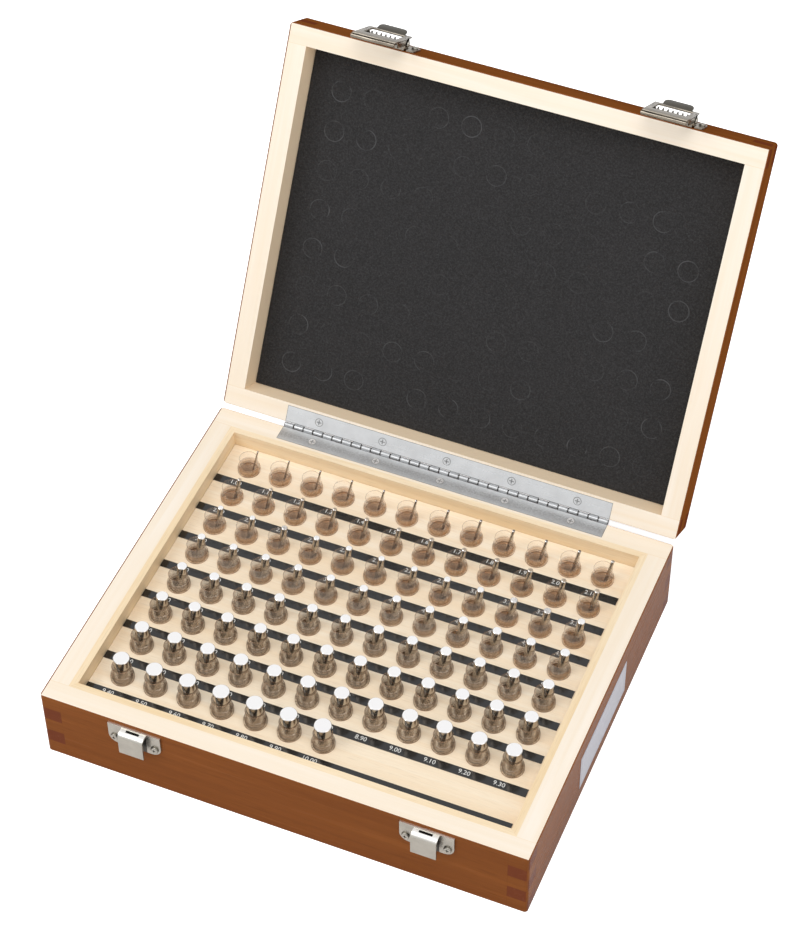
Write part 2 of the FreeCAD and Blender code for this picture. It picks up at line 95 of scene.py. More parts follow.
LID_TOP = shut_box("lid_front_wall")[1].z
RIM_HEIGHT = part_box("base_front_wall")[1].z
ROW_PITCH = (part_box("vials_row_1")[0].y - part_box("vials_row_8")[0].y) / 7
VIAL_RADIUS = (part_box("vials_row_1")[1].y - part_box("vials_row_1")[0].y) / 2
COLUMN_PITCH = (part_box("vials_row_1")[1].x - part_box("vials_row_1")[0].x - 2 * VIAL_RADIUS) / 11
KNUCKLES = 33
HINGE_SCREW_PITCH = 0.0416
LATCH_MIDDLE = (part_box("keeper_right")[0].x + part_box("keeper_right")[1].x) / 2
PIN_COUNT = 91
SKIN = 0.00062           # how deep the lacquer goes round an edge
HINGE_SKIN = 0.00015     # the same behind the hinge
HINGE_BAND = 0.0012      # height of the strip behind the hinge
SEAM = 0.00016           # half the width of a joint's line
FOOT_LEVEL = 0.0044      # top of a vial's warm foot above the board
BARREL = 0.00165         # radius of the hinge's barrel
BARREL_ROOT = 0.0019     # where a leaf leaves the barrel
LEAF_EDGE = 0.0003       # width of the painted shadow line round a leaf
LEAF_MIDDLE = 0.005      # from a leaf's far edge to its mottled middle


# ---- sizes and colours a user may change ----
def tint(name, description, red, green, blue):
    """Colour, written from 0 to 255."""
    return FloatVectorProperty(name=name, description=description, subtype="COLOR", size=3,
                               min=0.0, max=1.0, default=srgb(red, green, blue))


def length(name, description, default):
    """Length in metres."""
    return FloatProperty(name=name, description=description, default=default,
                         unit="LENGTH", precision=5)


def share(name, description, default):
    """Value from 0 to 1."""
    return FloatProperty(name=name, description=description, default=default,
                         min=0.0, max=1.0, subtype="FACTOR")


def power(name, description, default):
    """Power of a lamp in watts."""
    return FloatProperty(name=name, description=description, default=default, unit="POWER")


class GaugeWood(bpy.types.PropertyGroup):
    """Colours and shine of the case and the board"""
    stain: tint("Stain", "Lacquered outside of the case", 142, 83, 38)
    stain_dark: tint("Dark stain", "Dark streaks of the lacquered outside", 126, 71, 32)
    end_grain: tint("End grain", "Finger ends under the lacquer", 108, 50, 34)
    rim: tint("Rim", "Bare rims of the walls", 252, 241, 226)
    rim_dark: tint("Rim grain", "Grain of the bare rims", 247, 231, 208)
    gloss: share("Gloss", "Shine of the lacquer on the base", 0.02)
    # painted light: warmer tone of the walls' bare inner faces, standing for warm light bounced between
    # the wooden walls
    inside: tint("Inside", "Bare inner faces of the walls", 253, 230, 198)
    liner: tint("Liner", "Strips inside the walls", 252, 233, 202)
    liner_dark: tint("Liner grain", "Grain of the strips inside the walls", 238, 210, 166)
    board: tint("Board", "Board that holds the vials", 252, 239, 217)
    board_dark: tint("Board grain", "Grain of the board", 244, 222, 190)


class GaugeMarks(bpy.types.PropertyGroup):
    """Numbers, their strips and the label"""
    digit_height: length("Digit height", "Height of the numbers on the strips", 0.0029)
    digit_lift: length("Digit lift", "Thickness of the printed numbers", 0.00003)
    digit_shift: length("Digit shift", "Numbers to the left of their vials", 0.0028)
    digit_weight: length("Digit weight", "How far the strokes are thickened", 0.0)
    paint: tint("Number paint", "Numbers on the strips", 236, 236, 232)
    strip: tint("Strip", "Moulded number strips", 12, 12, 13)
    paper: tint("Paper", "Label on the side of the case", 206, 206, 214)


class GaugeFoam(bpy.types.PropertyGroup):
    """Foam pad in the lid"""
    cell: length("Grid", "Spacing of the points on the pad's face", 0.001)
    print_radius: length("Print radius", "Ring that a vial's rim leaves", 0.0061)
    print_width: length("Print width", "Width of the pressed ring", 0.0006)
    print_depth: length("Print depth", "Depth of the deepest ring", 0.0006)
    edge_round: length("Edge", "Rounding along the pad's edges", 0.0012)
    colour: tint("Foam", "Charcoal foam", 22, 20, 21)
    # also the colour of the pale rings, which are partly pressed foam and partly a painted highlight
    pressed: tint("Pressed foam", "Foam where it is pressed", 92, 92, 94)


class GaugeMetal(bpy.types.PropertyGroup):
    """Steel and nickel"""
    pin: tint("Pin steel", "Ground sides of the pins", 182, 172, 160)
    # partly the bright lapped finish of the pins' ends, partly a painted highlight on faces that look
    # up and on the base leaf's screws
    lapped_end_and_glint: tint("Pin ends", "Lapped ends of the pins", 255, 254, 254)
    nickel: tint("Nickel", "Plated keepers, brackets and screws", 180, 175, 165)
    hasp: tint("Hasp", "Duller plating of the hasps", 156, 147, 134)
    glint: tint("Glint", "Upper faces of the keepers", 246, 244, 240)
    ink: tint("Shadow", "Dark outlines and recesses of the metal", 52, 48, 44)
    hinge: tint("Hinge", "Rolled steel of the piano hinge", 204, 206, 208)
    # painted shade: the thumb tab is coloured darker than the rest of the one-piece hasp, for the shade
    # it lies in
    tab: tint("Tab", "Darker thumb tabs of the hasps", 92, 88, 80)
    spring: tint("Spring", "Wire of the latch springs", 124, 120, 114)
    nickel_roughness: share("Nickel roughness", "Dullness of the plating", 0.3)
    pin_roughness: share("Pin roughness", "Dullness of the ground steel", 0.11)


class GaugeHasp(bpy.types.PropertyGroup):
    """Sizes of the two hasps"""
    metal: length("Metal", "Thickness of the pressed metal", 0.001)
    plate_out: length("Plate", "Middle of the plate in front of the pivot", 0.0031)
    top: length("Top", "Top edge above the pivot", 0.006)
    lip: length("Lip", "Closed plate above the rolled edge", 0.0065)
    window_side: length("Window side", "Metal left round the window", 0.00315)
    curl: length("Curl", "Radius of the rolled edge", 0.0016)
    cheek: length("Cheek", "Radius of the cheeks round the pivot", 0.0037)
    flange: length("Flange", "Depth of the sides", 0.0039)
    flange_start: length("Flange start", "Sides above the rolled edge", 0.005)
    tab: length("Tab", "Height of the thumb tab", 0.0062)
    tab_setback: length("Tab setback", "Tab's side to the hasp's side", 0.0045)
    tab_corner: length("Tab corner", "Rounding of the tab", 0.003)
    flare: FloatProperty(name="Flare", description="Lean of the tab in degrees", default=16.0)


class GaugeStudio(bpy.types.PropertyGroup):
    """Lamps, sky and floor"""
    key: power("Key", "Large lamp at the left", 11.0)
    top: power("Top", "Lamp high above", 13.5)
    fill: power("Fill", "Lamp at the right", 3.5)
    sky: share("Sky", "Even light from all round", 0.46)
    ground: tint("Ground", "Floor under the case", 250, 250, 250)


# ---- material building ----
def material(name):
    """New material, its node tree and its shader."""
    made = bpy.data.materials.new(name)
    made.use_nodes = True
    return made, made.node_tree, made.node_tree.nodes["Principled BSDF"]


def add(tree, kind, *links, **values):
    """Add a node. links are (input, socket or value) pairs; values are node settings."""
    node = tree.nodes.new(kind)
    for key, value in values.items():
        setattr(node, key, value)
    for key, value in links:
        if isinstance(value, bpy.types.NodeSocket):
            tree.links.new(value, node.inputs[key])
        else:
            node.inputs[key].default_value = value
    return node


def maths(tree, operation, first, second=0.0):
    """Result of a Math node."""
    return add(tree, "ShaderNodeMath", (0, first), (1, second), operation=operation).outputs[0]


def mathematics(operation):
    """Function that adds one kind of Math node."""
    return lambda tree, first, second=0.0: maths(tree, operation, first, second)


plus, minus, times = (mathematics(kind) for kind in ("ADD", "SUBTRACT", "MULTIPLY"))
above, below, unsigned = (mathematics(kind) for kind in ("GREATER_THAN", "LESS_THAN", "ABSOLUTE"))


def largest(tree, first, *others):
    """Largest of several values."""
    for other in others:
        first = maths(tree, "MAXIMUM", first, other)
    return first


def distance(tree, first, second):
    """Distance from the middle that two offsets give."""
    squares = [maths(tree, "POWER", offset, 2.0) for offset in (first, second)]
    return maths(tree, "SQRT", plus(tree, *squares))


def near(tree, value, at, width):
    """1 where a value is less than a width from another, else 0."""
    return below(tree, unsigned(tree, minus(tree, value, at)), width)


def scaled(colour, factor):
    """Lighter or darker colour."""
    return tuple(min(1.0, value * factor) for value in colour)


def mix(tree, part, first, second):
    """Colour between two, of which the second has the given part."""
    node = add(tree, "ShaderNodeMix", data_type="RGBA")
    for index, value in ((0, part), (6, first), (7, second)):
        if isinstance(value, bpy.types.NodeSocket):
            tree.links.new(value, node.inputs[index])
        elif index == 0:
            node.inputs[index].default_value = value
        else:
            node.inputs[index].default_value = (*value[:3], 1.0)
    return node.outputs[2]


def spread(tree, value, low, high, to_low=0.0, to_high=1.0):
    """Map a value from one range to another."""
    node = add(tree, "ShaderNodeMapRange", ("Value", value), ("From Min", low), ("From Max", high),
               ("To Min", to_low), ("To Max", to_high))
    return node.outputs["Result"]


def noise(tree, place, scale, detail=3.0, roughness=0.55, distortion=0.0):
    """Cloudy noise from about 0 to 1."""
    node = add(tree, "ShaderNodeTexNoise", ("Vector", place), ("Scale", scale), ("Detail", detail),
               ("Roughness", roughness), ("Distortion", distortion))
    return node.outputs["Fac"]


def coordinates(tree, lid=False):
    """Object coordinates in metres, with the lid's pieces as they lie when it is shut."""
    place = add(tree, "ShaderNodeTexCoord").outputs["Object"]
    if not lid:
        return place
    return add(tree, "ShaderNodeMapping", ("Vector", place), ("Location", closing().translation),
               ("Rotation", (OPEN_ANGLE, 0.0, 0.0))).outputs["Vector"]


def axes(tree, place):
    """X, Y and Z of a place."""
    return add(tree, "ShaderNodeSeparateXYZ", ("Vector", place)).outputs


def stretched(tree, place, scale, shift=0.0):
    """Place scaled on each axis and shifted along all three."""
    return add(tree, "ShaderNodeMapping", ("Vector", place), ("Scale", scale),
               ("Location", (shift, shift, shift))).outputs["Vector"]


def normal(tree):
    """Way a face looks, in the piece's own frame."""
    return add(tree, "ShaderNodeTexCoord").outputs["Normal"]


def alignment(tree, way):
    """How nearly a face looks along a direction or against it, from 0 to 1."""
    product = add(tree, "ShaderNodeVectorMath", (0, normal(tree)), (1, way),
                  operation="DOT_PRODUCT")
    return unsigned(tree, product.outputs["Value"])


def bump(tree, height, depth, strength):
    """Small relief."""
    return add(tree, "ShaderNodeBump", ("Height", height), ("Distance", depth),
               ("Strength", strength)).outputs["Normal"]


def wire(tree, shader, colour, roughness, relief=None):
    """Give a shader its colour, roughness and relief, each a socket or a plain value."""
    for key, value in (("Base Color", colour), ("Roughness", roughness), ("Normal", relief)):
        if isinstance(value, bpy.types.NodeSocket):
            tree.links.new(value, shader.inputs[key])
        elif value is not None:
            shader.inputs[key].default_value = value


def fibres(tree, place, along, shift=0.0):
    """Streaks and pores of wood that runs along an axis: (streaks, pores, broad bands)."""
    def drawn(run, across):
        scale = [across] * 3
        scale["xyz".index(along)] = run
        return stretched(tree, place, scale, shift)
    streaks = noise(tree, drawn(7.0, 240.0), 1.0, 5.0, 0.6, 0.5)
    pores = noise(tree, drawn(90.0, 2600.0), 1.0, 2.0, 0.5)
    bands = noise(tree, drawn(2.5, 38.0), 1.0, 3.0, 0.5, 1.2)
    return streaks, pores, bands


def bare_wood(name, along, pale, dark, roughness, shift):
    """Sanded wood without lacquer."""
    made, tree, shader = material(name)
    streaks, pores, bands = fibres(tree, coordinates(tree), along, shift)
    colour = mix(tree, spread(tree, times(tree, streaks, bands), 0.12, 0.42), dark, pale)
    colour = mix(tree, spread(tree, pores, 0.55, 0.75, 0.0, 0.5), colour, scaled(dark, 0.72))
    wire(tree, shader, colour,
         spread(tree, streaks, 0.3, 0.7, roughness + 0.08, roughness - 0.06),
         bump(tree, pores, 0.00008, 0.5))
    return made


def case_wood(name, along, wood, lid=False, shift=0.0):
    """Wall of the case: lacquered outside, bare rims and inside, darker finger ends."""
    made, tree, shader = material(name)
    place = coordinates(tree, lid)
    streaks, pores, bands = fibres(tree, place, along, shift)
    x, y, height = axes(tree, place)
    across, deep = unsigned(tree, x), unsigned(tree, y)
    slim = times(tree, near(tree, height, RIM_HEIGHT, HINGE_BAND), SKIN - HINGE_SKIN)
    outside = largest(tree, above(tree, across, HALF_WIDTH - SKIN),
                      below(tree, y, SKIN - HALF_DEPTH),
                      above(tree, minus(tree, y, slim), HALF_DEPTH - SKIN),
                      below(tree, height, SKIN), above(tree, height, LID_TOP - SKIN))
    run, up = Vector([float(axis == along) for axis in "xyz"]), Vector((0.0, 0.0, 1.0))
    if lid:
        opened = Matrix.Rotation(-OPEN_ANGLE, 3, "X")
        run, up = opened @ run, opened @ up

    grain = times(tree, streaks, bands)
    lacquer = mix(tree, spread(tree, grain, 0.12, 0.40), wood.stain_dark, wood.stain)
    lacquer = mix(tree, spread(tree, pores, 0.55, 0.8, 0.0, 0.45), lacquer,
                  scaled(wood.stain_dark, 0.45))
    ends = spread(tree, alignment(tree, run), 0.75, 0.95, 0.0, 0.7)
    lacquer = mix(tree, ends, lacquer, wood.end_grain)
    bare = mix(tree, spread(tree, grain, 0.12, 0.42), wood.rim_dark, wood.rim)
    # painted light: faces that look sideways take the warmer inside colour, for warm light bounced
    # between the walls
    bare = mix(tree, spread(tree, alignment(tree, up), 0.2, 0.8, 1.0, 0.0), bare, wood.inside)
    inner_x, inner_y = HALF_WIDTH - WALL, HALF_DEPTH - WALL
    side_seam = times(tree, near(tree, deep, inner_y, SEAM), above(tree, across, inner_x))
    front_seam = times(tree, near(tree, across, inner_x, SEAM), above(tree, deep, inner_y))
    bare = mix(tree, times(tree, side_seam, 0.45), bare, wood.liner_dark)
    lacquer = mix(tree, times(tree, largest(tree, side_seam, front_seam), 0.12), lacquer,
                  scaled(wood.stain_dark, 0.3))
    shader.inputs["Specular IOR Level"].default_value = 0.0 if lid else wood.gloss
    dull = plus(tree, spread(tree, outside, 0.0, 1.0, 0.55, 0.24),
                spread(tree, streaks, 0.3, 0.7, -0.03, 0.05))
    wire(tree, shader, mix(tree, outside, bare, lacquer), dull, bump(tree, pores, 0.00006, 0.35))
    return made


def moulded(name, colour, roughness):
    """Moulded plastic with fine scuffs."""
    made, tree, shader = material(name)
    place = coordinates(tree)
    scuffs = noise(tree, place, 900.0, 4.0, 0.7)
    tone = mix(tree, spread(tree, noise(tree, place, 60.0, 2.0), 0.3, 0.7), colour,
               scaled(colour, 1.35))
    wire(tree, shader, tone, spread(tree, scuffs, 0.3, 0.75, roughness, roughness + 0.16),
         bump(tree, scuffs, 0.00002, 0.3))
    shader.inputs["Specular IOR Level"].default_value = 0.7
    return made


def printed(name, colour):
    """Printed paint, thin in places."""
    made, tree, shader = material(name)
    cover = noise(tree, coordinates(tree), 1800.0, 3.0, 0.6)
    wire(tree, shader, mix(tree, spread(tree, cover, 0.25, 0.6), scaled(colour, 0.8), colour), 0.45)
    return made


def clear_plastic(name, fill):
    """Clear vial. fill goes from 0, a thin pin over a warm foot, to 1, a pin that fills the bore."""
    made, tree, shader = material(name)
    place = coordinates(tree)
    height = axes(tree, place)["Z"]
    board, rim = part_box("pin_board")[1].z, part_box("vials_row_1")[1].z
    level = board + FOOT_LEVEL
    foot = spread(tree, height, level - 0.0002, level + 0.0002, 1.0, 0.0)
    flow = noise(tree, place, 300.0, 2.0)
    facing = add(tree, "ShaderNodeLayerWeight", ("Blend", 0.5)).outputs["Facing"]
    warm = mix(tree, spread(tree, flow, 0.3, 0.7), srgb(240, 190, 142), srgb(250, 212, 170))
    thin = mix(tree, foot, srgb(250, 246, 240), warm)
    # painted reflections: the more a pin fills its vial, the more the vial takes the steel's painted
    # light and dark bands
    colour = mix(tree, fill, thin, painted_steel_reflections(tree, facing))
    # painted shade: dark brown lines at the rim, at the top of the foot and at the board, and darkening
    # where the wall is seen edge-on, stand for the dark edges of clear plastic; they also make the wall
    # less see-through there
    lines = largest(tree, near(tree, height, rim, 0.00032), near(tree, height, level, 0.00016),
                    near(tree, height, board + 0.0002, 0.0004))
    outline = largest(tree, maths(tree, "POWER", facing, 6.0), times(tree, lines, 0.85))
    body = spread(tree, foot, 0.0, 1.0, 0.05 + 0.3 * fill, 0.36 + 0.1 * fill)
    cover = plus(tree, body, times(tree, outline, 0.36))
    shadow = add(tree, "ShaderNodeLightPath").outputs["Is Shadow Ray"]
    tree.links.new(times(tree, cover, spread(tree, shadow, 0.0, 1.0, 1.0, 0.2)),
                   shader.inputs["Alpha"])
    shader.inputs["Metallic"].default_value = 0.35 * fill
    shader.inputs["Transmission Weight"].default_value = 0.2
    shader.inputs["IOR"].default_value = 1.49
    wire(tree, shader, mix(tree, outline, colour, srgb(146, 108, 76)),
         spread(tree, flow, 0.3, 0.7, 0.05, 0.12))
    return made


def painted_steel_reflections(tree, facing):
    """Painted reflections: light and dark bands that a polished steel pin shows through its vial's
    wall, set by how squarely the surface faces the view.
    """
    ramp = add(tree, "ShaderNodeValToRGB", ("Fac", facing))
    bands = ((0.12, (232, 214, 192)), (0.34, (222, 202, 178)), (0.43, (150, 126, 102)),
             (0.54, (250, 238, 220)), (0.66, (186, 162, 136)), (0.82, (132, 106, 82)))
    elements = ramp.color_ramp.elements
    while len(elements) < len(bands):
        elements.new(0.5)
    for element, (position, colour) in zip(elements, bands):
        element.position = position
        element.color = (*srgb(*colour), 1.0)
    return ramp.outputs["Color"]


def hinge_leaf(leaf, depth):
    """Detail of a rolled hinge leaf: its knuckles' joints, a painted shadow line round its edge,
    painted shade in the crease where it leaves the barrel, and its darker mottled middle.
    """
    low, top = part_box(leaf)
    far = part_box("hinge_base_leaf")[0].y

    def shade(tree, place, tone, ink):
        x, y, z = axes(tree, place)
        away = distance(tree, minus(tree, y, HINGE.y), minus(tree, z, HINGE.z))
        barrel = below(tree, away, BARREL)
        run = maths(tree, "DIVIDE", minus(tree, x, low.x), (top.x - low.x) / KNUCKLES)
        part = unsigned(tree, minus(tree, maths(tree, "FRACT", run), 0.5))
        joints = times(tree, barrel, above(tree, part, 0.43))
        # painted shade in the crease where the leaf leaves the barrel
        crease_shade = near(tree, away, BARREL_ROOT, 0.0002)
        # painted shadow line along the leaf's far edge and its ends
        rim = largest(tree, below(tree, y, far + LEAF_EDGE),
                      above(tree, unsigned(tree, x), top.x - LEAF_EDGE))
        cloud = noise(tree, stretched(tree, place, (800.0, 1000.0, 1000.0)), 1.0, 4.0, 0.75)
        middle = unsigned(tree, minus(tree, y, far + LEAF_MIDDLE))
        # darker mottled band along the middle of the leaf, as strong as depth gives: strong on the base
        # leaf, none on the lid leaf
        mottling = times(tree, spread(tree, cloud, 0.35, 0.65, 0.25, 1.0),
                     spread(tree, middle, 0.001, LEAF_MIDDLE, 1.0, 0.0))
        tone = mix(tree, times(tree, mottling, depth), tone, srgb(110, 106, 104))
        tone = mix(tree, times(tree, barrel, 0.5), tone, srgb(110, 110, 110))
        dark = largest(tree, times(tree, crease_shade, 0.75), times(tree, rim, 0.6),
                       times(tree, joints, 0.9))
        return mix(tree, dark, tone, ink)
    return shade


def screw_head(along, across, radius, strength):
    """Detail of a screw: painted shade as a dark outline round its head and a dark cross slot, at the
    middle that two offsets give.
    """
    def shade(tree, place, tone, ink):
        split = axes(tree, place)
        u, v = along(tree, split), across(tree, split)
        ring = near(tree, distance(tree, u, v), radius * 0.93, radius * 0.1)
        u, v = unsigned(tree, u), unsigned(tree, v)
        slim = below(tree, maths(tree, "MINIMUM", u, v), radius * 0.13)
        short = below(tree, largest(tree, u, v), radius * 0.6)
        # painted shade: a dark ring at the head's edge and a dark cross standing for the shade in the
        # slot
        marks = largest(tree, ring, times(tree, slim, short))
        return mix(tree, times(tree, marks, strength), tone, ink)
    return shade


def repeated(pitch, start=0.0, axis="X"):
    """Offset along an axis from the nearest of a row of places, one of which is at start."""
    def offset(tree, split):
        run = maths(tree, "DIVIDE", minus(tree, split[axis], start), pitch)
        run = maths(tree, "FRACT", plus(tree, run, 0.5))
        return times(tree, minus(tree, run, 0.5), pitch)
    return offset


def paired(aside):
    """Offset along X from the nearest of the two screws of a latch part."""
    def offset(tree, split):
        latch = unsigned(tree, minus(tree, unsigned(tree, split["X"]), LATCH_MIDDLE))
        return minus(tree, latch, aside)
    return offset


def from_middle(axis, middle):
    """Offset along an axis from one place."""
    return lambda tree, split: minus(tree, split[axis], middle)


def keeper_faces(glint):
    """Detail of a keeper: a painted highlight on its upper faces, a line under its top edge and painted
    shade in its dark slot.
    """
    low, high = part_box("keeper_right")
    hook_half, hook_drop, sheet, skim = 0.0074, 0.0008, 0.001, 0.00005

    def shade(tree, place, tone, ink):
        x, front, height = axes(tree, place)
        upright = axes(tree, normal(tree))["Z"]
        # painted highlight: faces that look up take the glint colour
        tone = mix(tree, spread(tree, upright, 0.4, 0.9), tone, glint)
        line = times(tree, near(tree, height, high.z - 0.0013, SEAM),
                     above(tree, front, high.y - sheet - 0.0002))
        aside = unsigned(tree, minus(tree, unsigned(tree, x), LATCH_MIDDLE))
        # painted shade: the inner faces of the hook's slot are darkened
        inside = below(tree, aside, hook_half)
        for test in (below(tree, upright, 0.3), above(tree, front, low.y + sheet - skim),
                     below(tree, front, high.y - sheet - skim),
                     below(tree, height, high.z - hook_drop - skim)):
            inside = times(tree, inside, test)
        dark = largest(tree, times(tree, line, 0.75), times(tree, inside, 0.95))
        return mix(tree, dark, tone, ink)
    return shade


def lapped_ends(pale):
    """Detail of a pin: faces that look up are bright, partly the lapped finish of its ends and partly a
    painted highlight.
    """
    def shade(tree, place, tone, ink):
        upright = axes(tree, normal(tree))["Z"]
        return mix(tree, spread(tree, upright, 0.6, 0.85), tone, pale)
    return shade


def metal(name, colour, roughness, brush=None, lid=False, fine=2200.0, contrast=0.12, detail=None):
    """Plated or ground metal. brush is the axis that its fine scratches run along."""
    made, tree, shader = material(name)
    place = coordinates(tree, lid)
    scale = [fine] * 3
    if brush:
        scale["xyz".index(brush)] = fine * 0.03
    marks = noise(tree, stretched(tree, place, scale), 1.0, 3.0, 0.6)
    tone = mix(tree, spread(tree, noise(tree, place, 120.0, 3.0), 0.3, 0.7),
               scaled(colour, 1.0 - contrast), colour)
    if detail:
        tone = detail(tree, place, tone, bpy.context.scene.gauge_metal.ink)
    shader.inputs["Metallic"].default_value = 1.0
    wire(tree, shader, tone, spread(tree, marks, 0.25, 0.75, roughness - 0.06, roughness + 0.1),
         bump(tree, marks, 0.00001, 0.4))
    return made


def foam_skin(name, foam):
    """Foam, paler in thin rings where the vials' rims press it: partly pressed foam and partly a
    painted highlight on the rings.
    """
    made, tree, shader = material(name)
    place = coordinates(tree)
    cells = add(tree, "ShaderNodeTexVoronoi", ("Vector", place), ("Scale", 1100.0))
    grit = noise(tree, place, 2400.0, 2.0, 0.7)
    mottling = mix(tree, spread(tree, noise(tree, place, 26.0, 4.0, 0.6), 0.3, 0.7),
               scaled(foam.colour, 0.7), foam.colour)
    mottling = mix(tree, spread(tree, noise(tree, place, 900.0, 3.0, 0.7), 0.4, 0.8, 0.0, 0.3), mottling,
               foam.pressed)
    mottling = mix(tree, spread(tree, grit, 0.55, 0.8, 0.0, 0.4), mottling, foam.pressed)
    pressed = add(tree, "ShaderNodeAttribute", attribute_name="pressed").outputs["Fac"]
    split = axes(tree, coordinates(tree, True))
    first_x, first_y = vial_places(1)[0][0], vial_places(8)[0][1]
    away = distance(tree, repeated(COLUMN_PITCH, first_x, "X")(tree, split),
                    repeated(ROW_PITCH, first_y, "Y")(tree, split))
    gap = unsigned(tree, minus(tree, away, foam.print_radius))
    # pale ring at each vial's rim, partly pressed foam and partly a painted highlight
    ring = times(tree, spread(tree, gap, 0.00012, 0.00045, 1.0, 0.0),
                 spread(tree, noise(tree, place, 75.0, 2.0), 0.42, 0.62))
    shader.inputs["Sheen Weight"].default_value = 0.12
    wire(tree, shader, mix(tree, times(tree, ring, pressed), mottling, foam.pressed), 0.95,
         bump(tree, plus(tree, cells.outputs["Distance"], grit), 0.0002, 0.5))
    return made


def paper(name, colour):
    """Blank label paper with a thin printed frame."""
    made, tree, shader = material(name)
    low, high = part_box("side_label")
    place = coordinates(tree)
    split = axes(tree, place)
    gaps = [minus(tree, (high[i] - low[i]) / 2,
                  unsigned(tree, minus(tree, split[i], (low[i] + high[i]) / 2))) for i in (1, 2)]
    line = near(tree, maths(tree, "MINIMUM", *gaps), 0.0022, SEAM)
    fibre = noise(tree, place, 700.0, 5.0, 0.65)
    sheet = mix(tree, spread(tree, fibre, 0.3, 0.7), scaled(colour, 0.93), colour)
    wire(tree, shader, mix(tree, times(tree, line, 0.6), sheet, srgb(120, 122, 126)), 0.5,
         bump(tree, fibre, 0.00003, 0.3))
    return made


# ---- pieces ----
def finish(node, made):
    """Give a CAD piece its material."""
    for slot in frame["nodes"][node].material_slots:
        slot.material = made


def vial_places(row):
    """Middles of a row's vials, from the left."""
    low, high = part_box(f"vials_row_{row}")
    count = round((high.x - low.x - 2 * VIAL_RADIUS) / COLUMN_PITCH) + 1
    return [(low.x + VIAL_RADIUS + column * COLUMN_PITCH, (low.y + high.y) / 2)
            for column in range(count)]


def alone(piece=None):
    """Deselect everything, then select and activate one piece."""
    bpy.ops.object.select_all(action="DESELECT")
    if piece:
        piece.select_set(True)
        bpy.context.view_layer.objects.active = piece


def settle():
    """Put the active piece's origin at the scene's, unturned and unscaled."""
    bpy.ops.object.transform_apply(location=True, rotation=True, scale=True)
    return bpy.context.object


def edit():
    """Open the active piece's mesh with all of it selected."""
    bpy.ops.object.mode_set(mode="EDIT")
    bpy.ops.mesh.select_all(action="SELECT")


def leave():
    """Close the active piece's mesh."""
    bpy.ops.object.mode_set(mode="OBJECT")


# ---- operators ----
class CaseFinish(bpy.types.Operator):
    """Lacquer the outside of the case and leave its rims and inside bare"""
    bl_idname = "gauge_set.case"
    bl_label = "Case"

    def execute(self, context):
        wood = context.scene.gauge_wood
        for half, lid in (("base", False), ("lid", True)):
            for index, side in enumerate(SIDES):
                along = "x" if side in ("front", "back") else "y"
                name = f"{half}_{side}_wall"
                finish(name, case_wood(f"wood_{name}", along, wood, lid, index * 1.7 + lid))
        finish("base_bottom_panel", case_wood("wood_bottom_panel", "x", wood, False, 5.3))
        finish("lid_top_panel", case_wood("wood_top_panel", "x", wood, True, 9.1))
        return {"FINISHED"}


class InnerWood(bpy.types.Operator):
    """Sand the board, its bearers and the strips inside the walls"""
    bl_idname = "gauge_set.inner_wood"
    bl_label = "Inner wood"

    def execute(self, context):
        wood = context.scene.gauge_wood
        for index, side in enumerate(SIDES):
            along = "x" if side in ("front", "back") else "y"
            finish(f"liner_{side}", bare_wood(f"wood_liner_{side}", along, wood.liner,
                                              wood.liner_dark, 0.5, index * 2.3))
        finish("pin_board", bare_wood("wood_board", "x", wood.board, wood.board_dark, 0.55, 3.7))
        bearer = bare_wood("wood_bearer", "y", wood.liner, wood.liner_dark, 0.65, 4.9)
        finish("board_bearer_left", bearer)
        finish("board_bearer_right", bearer)
        return {"FINISHED"}


class NumberStrips(bpy.types.Operator):
    """Mould the strips and print each pin's diameter under its vial"""
    bl_idname = "gauge_set.number_strips"
    bl_label = "Number strips"

    def execute(self, context):
        marks = context.scene.gauge_marks
        plastic = moulded("strip_plastic", marks.strip, 0.06)
        ink = printed("number_paint", marks.paint)
        count = 0
        for row in ROWS:
            finish(f"size_strip_{row}", plastic)
            low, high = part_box(f"size_strip_{row}")
            alone()
            for x, _ in vial_places(row):
                bpy.ops.object.text_add(location=(x - marks.digit_shift, (low.y + high.y) / 2,
                                                  high.z + marks.digit_lift))
                text = context.object
                text.data.body = f"{1.0 + 0.1 * count:.2f}"
                text.data.size = marks.digit_height / 0.7
                text.data.align_x = "CENTER"
                text.data.align_y = "CENTER"
                text.data.extrude = marks.digit_lift / 2
                text.data.offset = marks.digit_weight
                text.data.resolution_u = 3
                text.name = f"number_{count + 1}"
                count += 1
            texts = [piece for piece in context.scene.objects if piece.type == "FONT"]
            alone(texts[0])
            for text in texts:
                text.select_set(True)
            bpy.ops.object.convert(target="MESH")
            bpy.ops.object.join()
            numbers = settle()
            numbers.name = f"numbers_row_{row}"
            numbers.data.materials.clear()
            numbers.data.materials.append(ink)
            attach(numbers, "base")
        if count != PIN_COUNT:
            raise RuntimeError(f"{PIN_COUNT} numbers are needed, not {count}")
        return {"FINISHED"}


class Vials(bpy.types.Operator):
    """Mould the clear vials"""
    bl_idname = "gauge_set.vials"
    bl_label = "Vials"

    def execute(self, context):
        for row in ROWS:
            fill = min(1.0, max(0.0, (row - 2.5) / 3.0))
            finish(f"vials_row_{row}", clear_plastic(f"vial_plastic_{row}", fill))
        return {"FINISHED"}


class Pins(bpy.types.Operator):
    """Grind and lap the pins"""
    bl_idname = "gauge_set.pins"
    bl_label = "Pins"

    def execute(self, context):
        metals = context.scene.gauge_metal
        steel = metal("pin_steel", metals.pin, metals.pin_roughness, None, False, 2600.0, 0.1,
                      lapped_ends(metals.lapped_end_and_glint))
        for row in ROWS:
            finish(f"pins_row_{row}", steel)
        return {"FINISHED"}


